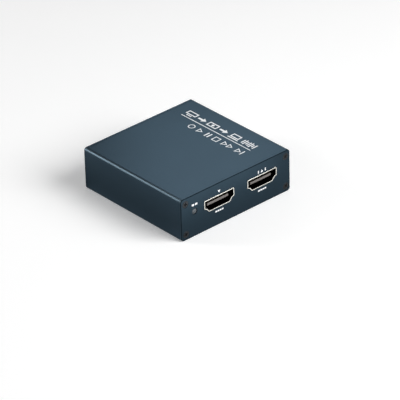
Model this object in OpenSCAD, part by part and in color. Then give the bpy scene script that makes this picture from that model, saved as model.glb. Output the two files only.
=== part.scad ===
// Video capture box: an extruded metal sleeve closed by two screwed end panels, around one board.
// The front panel has a video input and a video output, the rear panel two audio jacks and a data socket.
// Millimetres. Origin at the centre of the underside, +Z up, the video end faces -Y.

/* [Case] */
// Width of the case
body_w = 54; // [52:0.5:70]
// Depth of the case over both end panels
body_d = 54; // [53:0.5:70]
// Height of the case
body_h = 17.5; // [17:0.1:24]
// Radius of the four long edges
corner_r = 1.2; // [0.6:0.1:1.8]
// Wall of the sleeve
wall = 1.2; // [0.9:0.1:1.6]
// Thickness of each end panel
panel_t = 1.2; // [1:0.1:1.6]

/* [Screws] */
// Distance of each screw from the side of the case
screw_inset_x = 2.2; // [2:0.1:2.8]
// Distance of each screw from the top or the underside
screw_inset_z = 2.4; // [2:0.1:2.8]
// Diameter of the shank
screw_d = 1.7; // [1.4:0.1:2]
// Diameter of the countersunk head
screw_head_d = 2.8; // [2.6:0.1:3.4]
// Straight rim of the head
screw_rim = 0.1; // [0.05:0.05:0.2]
// Length of the screw from its face to its point
screw_l = 7; // [5:0.5:10]
// Length of the tapered point
screw_point = 0.9; // [0.5:0.1:1.5]
// Length of each arm pair of the cross recess
recess_l = 1.8; // [1.4:0.1:2.2]
// Width of the arms of the cross recess
recess_w = 0.5; // [0.3:0.05:0.6]
// Depth of the cross recess
recess_deep = 0.55; // [0.3:0.05:0.6]
// Diameter of the boss in each corner of the sleeve
boss_d = 4.0; // [3.4:0.1:4.4]
// Gap round each screw in its holes
screw_clear = 0.05; // [0.02:0.01:0.1]

/* [Board] */
// Height of the board's underside above the base
board_z = 4.7; // [4.5:0.1:5.5]
// Thickness of the board
board_t = 1.6; // [1:0.1:2]
// How far each guide rail stands out of the side wall
rail_w = 1.2; // [0.8:0.1:1.6]
// Height of each guide rail
rail_h = 1.1; // [0.8:0.1:1.5]
// Gap above the board in its slot
slot_clear = 0.2; // [0.1:0.05:0.3]
// Gap between each side edge of the board and the wall
edge_clear = 0.15; // [0.1:0.05:0.3]
// Gap between each end of the board and its panel
end_clear = 0.3; // [0.2:0.05:0.5]
// Gap round each soldered leg in the board
leg_clear = 0.15; // [0.1:0.05:0.3]
// How far each soldered leg reaches below the board
leg_drop = 0.8; // [0.5:0.1:1.2]

/* [Sockets] */
// How far every socket stands out of its panel
port_proud = 0.1; // [0.1:0.05:0.6]
// Gap round every socket in its panel
port_clear = 0.15; // [0.1:0.05:0.3]
// Gap round each insulator inside its shell
fit_clear = 0.05; // [0.02:0.01:0.1]
// Length of the insulator that fills the rear of each shell
plug_l = 3; // [2:0.1:4]
// Thickness of the insulator's foot behind each shell
foot_t = 0.9; // [0.6:0.1:1.4]
// Depth of each tongue's tip behind the panel's face
tongue_deep = 0.8; // [0.7:0.1:1.5]
// Length of each soldered leg along the shell
leg_l = 1.4; // [1:0.1:2]
// Thickness of the contact strips
contact_t = 0.12; // [0.08:0.02:0.2]
// Distance of the contact strips behind each tongue's tip
contact_back = 0.4; // [0.2:0.05:0.6]
// Length of the solder tails behind the video sockets
tail_l = 0.8; // [0.5:0.1:1.2]
// Thickness of the solder tails
tail_t = 0.2; // [0.1:0.05:0.3]
// Width of the solder tails behind the video sockets
tail_w = 0.25; // [0.15:0.05:0.35]

/* [Video sockets] */
// Sideways place of the input
video_in_x = -8.4; // [-10:0.1:-8]
// Sideways place of the output
video_out_x = 12.9; // [11:0.1:14]
// Height of each opening's centre above the board
video_rise = 3.7; // [3.4:0.1:4.5]
// Width of the opening
video_w = 14; // [13:0.1:15]
// Height of the opening
video_h = 4.55; // [4.2:0.05:5]
// Height of the straight part of each side
video_side_h = 2.85; // [2.4:0.05:3.2]
// Width of each shoulder under the straight sides
video_shoulder_w = 0.95; // [0.6:0.05:1.2]
// Height of each shoulder
video_shoulder_h = 0.4; // [0.2:0.05:0.6]
// Width of the floor of the opening
video_floor_w = 10; // [9:0.1:11]
// Thickness of the shell's sheet
video_sheet = 0.3; // [0.25:0.05:0.5]
// Length of the shell behind the panel's face
video_l = 10.8; // [9.5:0.1:12]
// Depth of the front pair of legs behind the panel's face
video_leg_front = 4; // [3:0.1:5]
// Distance between the front and the rear pair of legs
video_leg_step = 5; // [4:0.1:5.5]
// Width of the tongue
video_tongue_w = 10.4; // [10:0.1:11.5]
// Thickness of the tongue
video_tongue_t = 1.0; // [0.9:0.05:1.4]
// Height of the tongue's middle above the opening's centre
video_tongue_rise = 0.05; // [0:0.05:0.5]
// Distance between neighbouring contacts on one face
video_pitch = 1; // [0.9:0.05:1.05]
// Width of each contact
video_contact_w = 0.4; // [0.2:0.05:0.5]

/* [Data socket] */
// Sideways place of the socket
data_x = -15.1; // [-16:0.1:-14]
// Height of the opening's centre above the board
data_rise = 4.0; // [3.5:0.1:4.6]
// Width of the opening
data_w = 12.5; // [12:0.1:13.5]
// Height of the opening
data_h = 5.12; // [4.8:0.02:5.6]
// Thickness of the shell's sheet
data_sheet = 0.25; // [0.2:0.05:0.4]
// Length of the shell behind the panel's face
data_l = 13; // [11:0.1:14]
// Depth of the first pair of legs behind the panel's face
data_leg_front = 5; // [4:0.1:6]
// Distance between the first and the second pair of legs
data_leg_step = 5.5; // [4:0.1:6]
// Width of the tongue
data_tongue_w = 11.1; // [10.5:0.1:11.6]
// Thickness of the tongue
data_tongue_t = 1.84; // [1.6:0.02:2.1]
// Gap between the tongue and the top of the opening
data_tongue_gap = 0.8; // [0.5:0.05:0.9]
// Width of each grip spring
grip_w = 1.8; // [1.4:0.1:2.2]
// Distance of each grip spring from the middle
grip_x = 3; // [2.5:0.1:3.5]
// Depth of each grip spring's root behind the panel's face
grip_root = 0.7; // [0.6:0.1:1.2]
// Length of each grip spring
grip_l = 3.2; // [3:0.1:4.5]
// How far each grip spring rises into the opening
grip_rise = 0.7; // [0.4:0.05:0.8]
// How far the end of each grip spring stands above the floor
grip_end_rise = 0.3; // [0.2:0.05:0.4]
// Share of each grip spring's length before its crest
grip_crest = 0.5; // [0.5:0.05:0.8]
// Gap round each grip spring in its window
grip_clear = 0.2; // [0.1:0.05:0.3]
// Width of the four long contacts
data_long_w = 1.0; // [0.8:0.1:1.2]
// Distance of the inner long contacts from the middle
data_long_inner = 1.0; // [0.9:0.1:1.2]
// Distance of the outer long contacts from the middle
data_long_outer = 3.5; // [3:0.1:4]
// Width of the five short contacts
data_short_w = 0.6; // [0.4:0.1:0.8]
// Length of the short contacts
data_short_l = 1.6; // [1.2:0.1:2]
// Distance between neighbouring short contacts
data_short_pitch = 2.0; // [1.6:0.1:2.2]
// Thickness of each soldered pin
data_pin = 0.5; // [0.4:0.05:0.6]
// Distance of the pins behind the insulator's foot
data_pin_back = 0.6; // [0.5:0.05:0.9]

/* [Audio jacks] */
// Sideways place of the line input
line_in_x = 17.9; // [16.5:0.1:18.5]
// Sideways place of the line output
line_out_x = 5.0; // [4:0.1:6]
// Height of each jack's axis above the board
jack_rise = 2.45; // [2.4:0.05:3]
// Diameter of the bore that takes the plug
jack_bore_d = 3.6; // [3.55:0.01:3.7]
// Diameter of the metal ring in the panel
bushing_d = 5.3; // [5:0.1:6]
// Diameter of the spigot that seats the ring in the housing
spigot_d = 4.6; // [4.3:0.1:4.8]
// Length of the spigot
spigot_l = 1.5; // [1:0.1:2]
// Gap round the bushing in the panel
bushing_clear = 0.1; // [0.05:0.05:0.2]
// Width of the housing
jack_w = 7.2; // [7:0.1:8]
// Height of the housing above the jack's axis
jack_top = 2.45; // [2.4:0.05:3]
// Depth of the housing's rear end behind the panel's face
jack_l = 15; // [14.5:0.1:16]
// Thickness of the housing's rear wall
jack_back = 0.8; // [0.5:0.1:1]
// Extra radius of the housing's bore over the ring's bore
jack_relief = 0.3; // [0.2:0.05:0.35]
// Thickness of the spring leaves
leaf_t = 0.25; // [0.15:0.05:0.3]
// Height of the spring leaves
leaf_h = 1.5; // [1.2:0.1:1.7]
// Gap above and below each leaf in its slot
leaf_clear = 0.15; // [0.1:0.05:0.2]
// How far each leaf's bump stands into the plug's path
leaf_bump = 0.4; // [0.3:0.05:0.5]
// Distance of each leaf's middle outside the plug's path
leaf_stand = 0.35; // [0.25:0.05:0.4]
// Distance of each leaf's root from the jack's axis
root_x = 2.75; // [2.7:0.05:2.8]
// Radius of each leaf's root
root_r = 0.35; // [0.3:0.01:0.36]
// Gap round each leaf's root
root_clear = 0.05; // [0.02:0.01:0.08]
// Distance of the outer wall of each leaf's slot from the jack's axis
slot_x = 3.1; // [3.05:0.05:3.2]
// Distance of the tip leaf's root behind the ring's spigot
tip_root_back = 2.2; // [1.8:0.1:2.6]
// Distance of the ring leaf's root before the housing's rear end
ring_root_back = 0.9; // [0.8:0.05:1.2]
// Length of each leaf's turned-out end
leaf_flare = 1.2; // [0.9:0.1:1.5]
// Length of each leaf's slope up to its bump
leaf_bend = 1.4; // [1:0.1:1.8]
// Distance of the tip leaf's end before the end of the bore
leaf_end_room = 0.9; // [0.6:0.1:1.2]
// Room past each leaf's end in its slot
leaf_end_clear = 0.4; // [0.3:0.1:0.5]
// Length of the narrow throat that holds each leaf's root
throat_l = 0.6; // [0.5:0.05:0.8]
// Width of that throat
throat_w = 0.6; // [0.5:0.05:0.64]
// Thickness of the jacks' soldered legs
jack_leg_t = 0.3; // [0.2:0.05:0.4]
// Width of the jacks' soldered legs
jack_leg_w = 1.0; // [0.8:0.1:1.2]
// How far each leg reaches up into the housing
jack_leg_in = 1.0; // [0.7:0.1:1.1]
// Distance of each leg from the ring's spigot or the leaf's root
jack_leg_step = 2; // [1.5:0.1:2.5]

/* [Indicators] */
// Sideways place of the status light in the front panel
status_x = -20.4; // [-20.6:0.1:-19.5]
// Sideways place of the power light in the rear panel
power_x = -3.6; // [-4.5:0.1:-2.5]
// Height of the lights above the board
pipe_rise = 4.2; // [3.8:0.1:4.8]
// Diameter of the light pipes
pipe_d = 2.4; // [2:0.1:2.8]
// Gap round the light pipes in the panels
pipe_clear = 0.05; // [0.02:0.01:0.15]
// Width of each pipe's collar beyond the rod
collar_w = 0.5; // [0.3:0.1:0.8]
// Thickness of each pipe's collar
collar_t = 0.6; // [0.4:0.1:0.8]
// Depth of each pipe's far side behind the panel's face
pipe_l = 5.2; // [4.8:0.1:6]
// Thickness of the pipe's leg above the lamp
pipe_leg = 2; // [1.8:0.1:2.2]
// Gap between lamp and pipe
lamp_gap = 0.25; // [0.1:0.05:0.4]
// Width of each lamp
lamp_w = 2; // [1.6:0.1:2.2]
// Depth of each lamp
lamp_d = 1.25; // [1:0.05:1.5]
// Height of each lamp
lamp_h = 0.8; // [0.6:0.1:1]

/* [Board parts] */
// Gap between the parts of one column, and beside the rows of small parts
part_gap = 0.25; // [0.2:0.05:0.4]
// Side of the capture processor
processor_w = 10; // [8:0.5:11]
// Height of the capture processor
processor_h = 1.2; // [1:0.1:1.5]
// Side of the heat sink on the processor
sink_w = 11; // [10:0.5:12]
// Thickness of the heat sink's base
sink_base = 1; // [0.8:0.1:1.4]
// Height of the heat sink's fins
sink_fin_h = 3; // [2:0.1:3.2]
// Thickness of each fin
sink_fin_t = 0.8; // [0.6:0.1:1]
// Side of the video receiver's case
receiver_w = 7; // [6:0.5:8]
// Height of the video receiver
receiver_h = 1.0; // [0.8:0.1:1.4]
// Width of the memory chip
memory_w = 7; // [6.5:0.5:9]
// Depth of the memory chip
memory_d = 10; // [8:0.5:12]
// Height of the memory chip
memory_h = 1.1; // [0.8:0.1:1.4]
// Side of the flash chip's case
flash_w = 4; // [3.5:0.1:4.5]
// Height of the flash chip
flash_h = 1.5; // [1.2:0.1:1.8]
// Side of the audio codec
codec_w = 4; // [3:0.1:4.5]
// Height of the audio codec
codec_h = 0.9; // [0.7:0.1:1.2]
// Length of each crystal
crystal_w = 3.2; // [2.5:0.1:3.4]
// Depth of each crystal
crystal_d = 2.5; // [2:0.1:3]
// Height of each crystal
crystal_h = 0.8; // [0.6:0.1:1.2]
// Side of each power inductor
inductor_w = 4; // [3:0.1:4.5]
// Height of each power inductor
inductor_h = 2; // [1.5:0.1:2.5]
// Diameter of each electrolytic capacitor
can_d = 4; // [3.5:0.1:4.2]
// Height of each electrolytic capacitor
can_h = 5.3; // [4.5:0.1:5.4]
// Height of the base under each electrolytic capacitor
can_base = 0.8; // [0.6:0.1:1]
// Width of each voltage regulator
regulator_w = 2.9; // [2.6:0.1:3.2]
// Depth of each voltage regulator
regulator_d = 1.6; // [1.4:0.1:1.8]
// Height of each voltage regulator
regulator_h = 1.1; // [0.9:0.1:1.3]
// Width of each surge protector
protector_w = 2.5; // [2:0.1:2.8]
// Depth of each surge protector
protector_d = 1; // [0.8:0.1:1.2]
// Height of each surge protector
protector_h = 0.5; // [0.4:0.1:0.8]
// Length of each small capacitor and resistor
small_w = 1.6; // [1:0.1:1.8]
// Depth of each small capacitor and resistor
small_d = 0.8; // [0.5:0.1:0.9]
// Height of each small capacitor
small_h = 0.8; // [0.5:0.1:0.9]
// Height of each small resistor
resistor_h = 0.45; // [0.3:0.05:0.6]
// Length of the leads of the leaded chips
lead_l = 0.8; // [0.6:0.1:1]
// Width of the leads of the leaded chips
lead_w = 0.3; // [0.2:0.05:0.4]

/* [Hidden] */
$fn = 48;

// Colours
anodised = [0.21, 0.28, 0.33];
dark_steel = [0.17, 0.16, 0.15];
board_green = [0.05, 0.22, 0.13];
champagne = [0.78, 0.76, 0.71];
nickel = [0.84, 0.85, 0.87];
moulded_black = [0.07, 0.07, 0.08];
moulded_grey = [0.50, 0.48, 0.45];
signal_blue = [0.20, 0.52, 0.88];
gold = [0.83, 0.66, 0.30];
frosted = [0.45, 0.49, 0.52];
lamp_white = [0.90, 0.90, 0.82];
chip_black = [0.10, 0.10, 0.11];
bare_metal = [0.70, 0.71, 0.72];
ceramic = [0.55, 0.43, 0.30];

// A small overlap that joins two shapes of one piece
join = 0.1;

// Heights
board_top = board_z + board_t;
video_z = board_top + video_rise;
data_z = board_top + data_rise;
jack_z = board_top + jack_rise;
pipe_z = board_top + pipe_rise;

// Screws
shank_r = screw_d / 2;
head_r = screw_head_d / 2;
head_h = head_r - shank_r;
corners = [
  for (side = [-1, 1], z = [screw_inset_z, body_h - screw_inset_z])
    [side * (body_w / 2 - screw_inset_x), z]
];

// Board
board_w = body_w - 2 * (wall + edge_clear);
board_front = panel_t + end_clear;
board_l = body_d - 2 * board_front;

// Data socket
data_pin_count = 9;
data_pin_pitch = data_w / (data_pin_count + 1);

// Audio jacks: a leaf's path gives the distance from the jack's axis and the distance from the root
bore_r = jack_bore_d / 2;
housing_r = bore_r + jack_relief;
leaf_rest_x = bore_r + leaf_stand;
tip_root = board_front + spigot_l + tip_root_back;
ring_root = jack_l - ring_root_back;
leaf_reach = jack_l - jack_back - leaf_end_room - leaf_flare - tip_root;
leaf_path = [
  [root_x, 0], [leaf_rest_x, leaf_reach - leaf_bend],
  [bore_r - leaf_bump + leaf_t / 2, leaf_reach], [leaf_rest_x, leaf_reach + leaf_flare]
];
jack_leg_x = (jack_w / 2 + housing_r) / 2;

// Legs of the ring, the tip leaf and the ring leaf, as sideways place and depth
jack_leg_places = [
  [-jack_leg_x, board_front + spigot_l + jack_leg_step],
  [jack_leg_x, tip_root + jack_leg_step],
  [-jack_leg_x, ring_root - jack_leg_step]
];

// Light pipes
pipe_r = pipe_d / 2;
lamp_y = pipe_l - pipe_leg / 2;

// The board's layout: rows of small parts behind the video sockets and before the rear sockets
video_upper = 10;
video_lower = 9;
small_count = 12;
sink_fins = 6;
data_end = data_l + foot_t + data_pin_back + data_pin / 2;
front_row = -body_d / 2 + video_l + foot_t + tail_l;
rear_row = body_d / 2 - max(data_end, jack_l);
protector_row = front_row + part_gap + protector_d / 2;
front_caps_row = front_row + 2 * part_gap + protector_d + small_d / 2;
rear_caps_row = rear_row - part_gap - small_d / 2;
resistor_row = rear_row - 2 * part_gap - 1.5 * small_d;
free_w = body_w - 2 * (wall + rail_w);
small_pitch = free_w / small_count;

// Five columns of larger parts between the guide rails, with equal spaces between them
lead_span = 2 * lead_l;
columns = [memory_w, sink_w, receiver_w + lead_span, inductor_w, can_d];
column_space = (free_w - sum(columns, len(columns))) / (len(columns) + 1);
column_x = [
  for (i = [0:len(columns) - 1])
    -free_w / 2 + (i + 1) * column_space + sum(columns, i) + columns[i] / 2
];
parts_front = front_caps_row + small_d / 2 + part_gap;
parts_rear = resistor_row - small_d / 2 - part_gap;
parts_mid = (parts_front + parts_rear) / 2;
memory_place = [column_x[0], parts_front + memory_d / 2];
crystal_step = (crystal_w + part_gap) / 2;
crystal_places = [for (side = [-1, 1]) [column_x[0] + side * crystal_step, parts_rear - crystal_d / 2]];
processor_place = [column_x[1], parts_front + sink_w / 2];
regulator_places = [
  for (i = [-1:1]) [column_x[1] + i * sink_w / 3, parts_rear - (regulator_d + lead_span) / 2]
];
receiver_place = [column_x[2], parts_front + (receiver_w + lead_span) / 2];
flash_place = [column_x[2], parts_rear - (flash_w + lead_span) / 2];
inductor_places = [for (i = [0, 1]) [column_x[3], parts_front + (i + 0.5) * (inductor_w + part_gap)]];
codec_place = [column_x[3], parts_rear - codec_w / 2];
can_step = (parts_rear - parts_front) / 3;
can_places = [for (i = [-1:1]) [column_x[4], parts_mid + i * can_step]];
protector_places = [
  for (x = [video_in_x, video_out_x], side = [-1, 1]) [x + side * video_w / 4, protector_row]
];

// Outlines of the openings, anticlockwise about their centres
video_outline = let (
  half = video_w / 2,
  top = video_h / 2,
  knee = top - video_side_h,
  inner = half - video_shoulder_w,
  ledge = knee - video_shoulder_h,
  floor_x = video_floor_w / 2
) [
  [half, top], [-half, top], [-half, knee], [-inner, ledge],
  [-floor_x, -top], [floor_x, -top], [inner, ledge], [half, knee]
];
data_outline = let (half = data_w / 2, top = data_h / 2)
  [[half, top], [-half, top], [-half, -top], [half, -top]];

// The sum of a list's first values
function sum(list, count, i = 0) = i < count ? list[i] + sum(list, count, i + 1) : 0;

function unit(v) = v / norm(v);
function left_normal(a, b) = let (d = unit(b - a)) [-d[1], d[0]];
function mitre(n1, n2) = (n1 + n2) / (1 + n1 * n2);

// A closed anticlockwise outline, moved outwards by a distance
function grown(outline, distance) = let (n = len(outline)) [
  for (i = [0:n - 1])
    let (before = outline[(i + n - 1) % n], here = outline[i], after = outline[(i + 1) % n])
      here - distance * mitre(left_normal(before, here), left_normal(here, after))
];

// A strip of one thickness along an open path
function ribbon(path, thickness) = let (
  last = len(path) - 1,
  sides = [
    for (i = [0:last])
      i == 0 ? left_normal(path[0], path[1])
      : i == last ? left_normal(path[last - 1], path[last])
      : mitre(left_normal(path[i - 1], path[i]), left_normal(path[i], path[i + 1]))
  ]
) concat(
  [for (i = [0:last]) path[i] + sides[i] * thickness / 2],
  [for (i = [last:-1:0]) path[i] - sides[i] * thickness / 2]
);

// Places on the two ends: the children's +Y is the depth behind the panel's outer face
module at_front(x, z) {
  translate([x, -body_d / 2, z]) children();
}

module at_rear(x, z) {
  translate([x, body_d / 2, z]) mirror([0, 1, 0]) children();
}

// A flat shape drawn in X and Z, extruded between two depths
module deep(from, to) {
  translate([0, from, 0]) rotate([90, 0, 0]) mirror([0, 0, 1]) linear_extrude(to - from) children();
}

// A flat shape drawn in depth and Z, extruded across X
module across(width) {
  rotate([90, 0, 90]) linear_extrude(width, center = true) children();
}

module rod(from, to, r) {
  translate([0, from, 0]) rotate([-90, 0, 0]) cylinder(h = to - from, r = r);
}

module block(low, high) {
  translate(low) cube(high - low);
}

// A box that stands on the board
module on_board(place, size) {
  translate([place[0] - size[0] / 2, place[1] - size[1] / 2, board_top]) cube(size);
}

// Case

module case_outline() {
  translate([0, body_h / 2]) {
    square([body_w - 2 * corner_r, body_h], center = true);
    square([body_w, body_h - 2 * corner_r], center = true);
    for (sx = [-1, 1], sz = [-1, 1])
      translate([sx * (body_w / 2 - corner_r), sz * (body_h / 2 - corner_r)]) circle(corner_r);
  }
}

// Places of the four screws, in the flat section and on a panel
module at_corners() {
  for (p = corners) translate(p) children();
}

module on_corners() {
  for (p = corners) translate([p[0], 0, p[1]]) children();
}

module guide_rails() {
  rail_x = body_w / 2 - wall - rail_w;
  for (side = [0, 1]) mirror([side, 0]) {
    translate([rail_x, board_z - rail_h]) square([rail_w + join, rail_h]);
    translate([rail_x, board_top + slot_clear]) square([rail_w + join, rail_h]);
  }
}

module sleeve_section() {
  difference() {
    intersection() {
      case_outline();
      union() {
        difference() {
          case_outline();
          translate([0, body_h / 2]) square([body_w - 2 * wall, body_h - 2 * wall], center = true);
        }
        at_corners() circle(boss_d / 2);
        guide_rails();
      }
    }
    at_corners() circle(shank_r + screw_clear);
  }
}

module case_sleeve() {
  color(anodised) at_front(0, 0) deep(panel_t, body_d - panel_t) sleeve_section();
}

module screw_holes() {
  rim = screw_rim + screw_clear;
  on_corners() {
    rod(-join, panel_t + join, shank_r + screw_clear);
    rod(-join, rim, head_r + screw_clear);
    translate([0, rim, 0]) rotate([-90, 0, 0])
      cylinder(h = head_h, r1 = head_r + screw_clear, r2 = shank_r + screw_clear);
  }
}

module front_panel() {
  color(anodised) at_front(0, 0) difference() {
    deep(0, panel_t) difference() {
      case_outline();
      for (x = [video_in_x, video_out_x])
        translate([x, video_z]) polygon(grown(video_outline, video_sheet + port_clear));
      translate([status_x, pipe_z]) circle(pipe_r + pipe_clear);
    }
    screw_holes();
  }
}

module rear_panel() {
  color(anodised) at_rear(0, 0) difference() {
    deep(0, panel_t) difference() {
      case_outline();
      translate([data_x, data_z]) polygon(grown(data_outline, data_sheet + port_clear));
      for (x = [line_in_x, line_out_x])
        translate([x, jack_z]) circle(bushing_d / 2 + bushing_clear);
      translate([power_x, pipe_z]) circle(pipe_r + pipe_clear);
    }
    screw_holes();
  }
}

module screw() {
  difference() {
    rotate([-90, 0, 0]) rotate_extrude() polygon([
      [0, 0], [head_r, 0], [head_r, screw_rim], [shank_r, screw_rim + head_h],
      [shank_r, screw_l - screw_point], [0, screw_l]
    ]);
    for (turn = [0, 90]) rotate([0, turn, 0])
      block([-recess_l / 2, -join, -recess_w / 2], [recess_l / 2, recess_deep, recess_w / 2]);
  }
}

module front_screws() {
  color(dark_steel) at_front(0, 0) on_corners() screw();
}

module rear_screws() {
  color(dark_steel) at_rear(0, 0) on_corners() screw();
}

// Video sockets

module video_legs(gap) {
  half = video_w / 2;
  low = -video_rise - board_t - leg_drop;
  for (side = [0, 1], y = [video_leg_front, video_leg_front + video_leg_step])
    mirror([side, 0, 0])
      block([half - gap, y - leg_l / 2 - gap, low], [half + video_sheet + gap, y + leg_l / 2 + gap, 0]);
}

module video_shell(x) {
  color(champagne) at_front(x, video_z) {
    deep(-port_proud, video_l) difference() {
      polygon(grown(video_outline, video_sheet));
      polygon(video_outline);
    }
    video_legs(0);
  }
}

module video_insulator(x) {
  foot_x = video_w / 2 + video_sheet;
  color(moulded_grey) at_front(x, video_z) {
    deep(video_l - plug_l, video_l + join) polygon(grown(video_outline, -fit_clear));
    block([-foot_x, video_l, -video_rise], [foot_x, video_l + foot_t, video_h / 2 + video_sheet]);
    deep(tongue_deep, video_l) translate([0, video_tongue_rise])
      square([video_tongue_w, video_tongue_t], center = true);
  }
}

module video_contacts(x) {
  tails = video_upper + video_lower;
  strip_front = tongue_deep + contact_back;
  tongue_top = video_tongue_rise + video_tongue_t / 2;
  tongue_low = video_tongue_rise - video_tongue_t / 2;
  tail_y = video_l + foot_t;
  color(gold) at_front(x, video_z) {
    for (i = [0:video_upper - 1]) translate([(i - (video_upper - 1) / 2) * video_pitch, 0, 0])
      block(
        [-video_contact_w / 2, strip_front, tongue_top],
        [video_contact_w / 2, video_l - plug_l, tongue_top + contact_t]
      );
    for (i = [0:video_lower - 1]) translate([(i - (video_lower - 1) / 2) * video_pitch, 0, 0])
      block(
        [-video_contact_w / 2, strip_front, tongue_low - contact_t],
        [video_contact_w / 2, video_l - plug_l, tongue_low]
      );
    for (i = [0:tails - 1]) translate([(i - (tails - 1) / 2) * video_pitch / 2, tail_y, -video_rise])
      block([-tail_w / 2, 0, 0], [tail_w / 2, tail_l, tail_t]);
  }
}

// Data socket

module data_legs(gap) {
  half = data_w / 2;
  low = -data_rise - board_t - leg_drop;
  for (side = [0, 1], y = [data_leg_front, data_leg_front + data_leg_step])
    mirror([side, 0, 0])
      block([half - gap, y - leg_l / 2 - gap, low], [half + data_sheet + gap, y + leg_l / 2 + gap, 0]);
}

// One spring, cut out of the floor of the shell and bent up into the opening
module grip_spring() {
  base = -(data_h + data_sheet) / 2;
  path = [
    [grip_root - join, base], [grip_root + join, base],
    [grip_root + grip_l * grip_crest, base + grip_rise],
    [grip_root + grip_l, base + grip_end_rise]
  ];
  across(grip_w) polygon(ribbon(path, data_sheet));
}

module grip_window() {
  half = grip_w / 2 + grip_clear;
  block(
    [-half, grip_root, -data_h / 2 - data_sheet - join],
    [half, grip_root + grip_l + grip_clear, -data_h / 2 + join]
  );
}

module at_grips() {
  for (side = [-1, 1]) translate([side * grip_x, 0, 0]) children();
}

module data_port_shell() {
  color(champagne) at_rear(data_x, data_z) {
    difference() {
      deep(-port_proud, data_l) difference() {
        polygon(grown(data_outline, data_sheet));
        polygon(data_outline);
      }
      at_grips() grip_window();
    }
    at_grips() grip_spring();
    data_legs(0);
  }
}

module data_port_insulator() {
  foot_x = data_w / 2 + data_sheet;
  tongue_z = data_h / 2 - data_tongue_gap - data_tongue_t / 2;
  color(signal_blue) at_rear(data_x, data_z) {
    deep(data_l - plug_l, data_l + join) polygon(grown(data_outline, -fit_clear));
    block([-foot_x, data_l, -data_rise], [foot_x, data_l + foot_t, data_h / 2 + data_sheet]);
    deep(tongue_deep, data_l) translate([0, tongue_z])
      square([data_tongue_w, data_tongue_t], center = true);
  }
}

// Each soldered pin stands behind the insulator's foot and goes down through the board
module at_data_pins() {
  for (i = [0:data_pin_count - 1])
    translate([(i - (data_pin_count - 1) / 2) * data_pin_pitch, data_l + foot_t, -data_rise]) children();
}

module data_pins(gap) {
  half = data_pin / 2 + gap;
  at_data_pins()
    block([-half, data_pin_back - half, -board_t - leg_drop], [half, data_pin_back + half, data_pin]);
}

// Five short contacts near the tongue's tip and four long ones behind them, all under the tongue
module data_port_contacts() {
  tongue_low = data_h / 2 - data_tongue_gap - data_tongue_t;
  short_y = tongue_deep + contact_back;
  long_y = short_y + data_short_l + contact_back;
  color(gold) at_rear(data_x, data_z) {
    for (i = [-2:2]) translate([i * data_short_pitch, 0, tongue_low])
      block([-data_short_w / 2, short_y, -contact_t], [data_short_w / 2, short_y + data_short_l, 0]);
    for (side = [-1, 1], x = [data_long_inner, data_long_outer]) translate([side * x, 0, tongue_low])
      block([-data_long_w / 2, long_y, -contact_t], [data_long_w / 2, data_l - plug_l, 0]);
    data_pins(0);
    at_data_pins() block([-data_pin / 2, 0, 0], [data_pin / 2, data_pin_back, data_pin]);
  }
}

// Audio jacks

// Where each leaf lies: the tip leaf on the right, rooted at the front, the ring leaf opposite
module at_tip_leaf() {
  translate([0, tip_root, 0]) children();
}

module at_ring_leaf() {
  translate([0, ring_root, 0]) mirror([0, 1, 0]) mirror([1, 0, 0]) children();
}

module leaf_room() {
  tall = leaf_h + 2 * leaf_clear;
  translate([root_x, 0, 0]) cylinder(h = tall, r = root_r + root_clear, center = true);
  block([root_x - throat_w / 2, 0, -tall / 2], [root_x + throat_w / 2, throat_l + join, tall / 2]);
  block([0, throat_l, -tall / 2], [slot_x, leaf_reach + leaf_flare + leaf_end_clear, tall / 2]);
}

module spring_leaf() {
  linear_extrude(leaf_h, center = true) polygon(ribbon(leaf_path, leaf_t));
  translate([root_x, 0, 0]) cylinder(h = leaf_h, r = root_r, center = true);
}

module jack_legs(gap) {
  low = -jack_rise - board_t - leg_drop;
  for (place = jack_leg_places) translate([place[0], place[1], 0])
    block(
      [-jack_leg_t / 2 - gap, -jack_leg_w / 2 - gap, low],
      [jack_leg_t / 2 + gap, jack_leg_w / 2 + gap, -jack_rise + jack_leg_in + gap]
    );
}

module jack_housing(x) {
  color(moulded_black) at_rear(x, jack_z) difference() {
    block([-jack_w / 2, board_front, -jack_rise], [jack_w / 2, jack_l, jack_top]);
    rod(board_front - join, board_front + spigot_l, spigot_d / 2 + fit_clear);
    rod(board_front, jack_l - jack_back, housing_r);
    at_tip_leaf() leaf_room();
    at_ring_leaf() leaf_room();
    jack_legs(fit_clear);
  }
}

module jack_bushing(x) {
  color(nickel) at_rear(x, jack_z) difference() {
    union() {
      rod(-port_proud, board_front, bushing_d / 2);
      rod(board_front - join, board_front + spigot_l, spigot_d / 2);
    }
    rod(-port_proud - join, board_front + spigot_l + join, bore_r);
  }
}

module jack_tip_spring(x) {
  color(gold) at_rear(x, jack_z) at_tip_leaf() spring_leaf();
}

module jack_ring_spring(x) {
  color(gold) at_rear(x, jack_z) at_ring_leaf() spring_leaf();
}

module jack_leg_set(x) {
  color(bare_metal) at_rear(x, jack_z) jack_legs(0);
}

// Indicators: a bent rod carries each lamp's light from the board to the panel
module light_pipe() {
  leg_low = -pipe_rise + lamp_h + lamp_gap;
  rod(0, pipe_l - pipe_leg / 2, pipe_r);
  rod(panel_t, panel_t + collar_t, pipe_r + collar_w);
  across(pipe_leg) polygon([
    [pipe_l - pipe_leg, leg_low], [pipe_l, leg_low], [pipe_l, 0],
    [pipe_l - pipe_leg / 2, pipe_leg / 2], [pipe_l - pipe_leg, pipe_leg / 2]
  ]);
}

module lamp() {
  translate([-lamp_w / 2, lamp_y - lamp_d / 2, -pipe_rise]) cube([lamp_w, lamp_d, lamp_h]);
}

module status_light_pipe() {
  color(frosted) at_front(status_x, pipe_z) light_pipe();
}

module status_lamp() {
  color(lamp_white) at_front(status_x, pipe_z) lamp();
}

module power_light_pipe() {
  color(frosted) at_rear(power_x, pipe_z) light_pipe();
}

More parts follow.
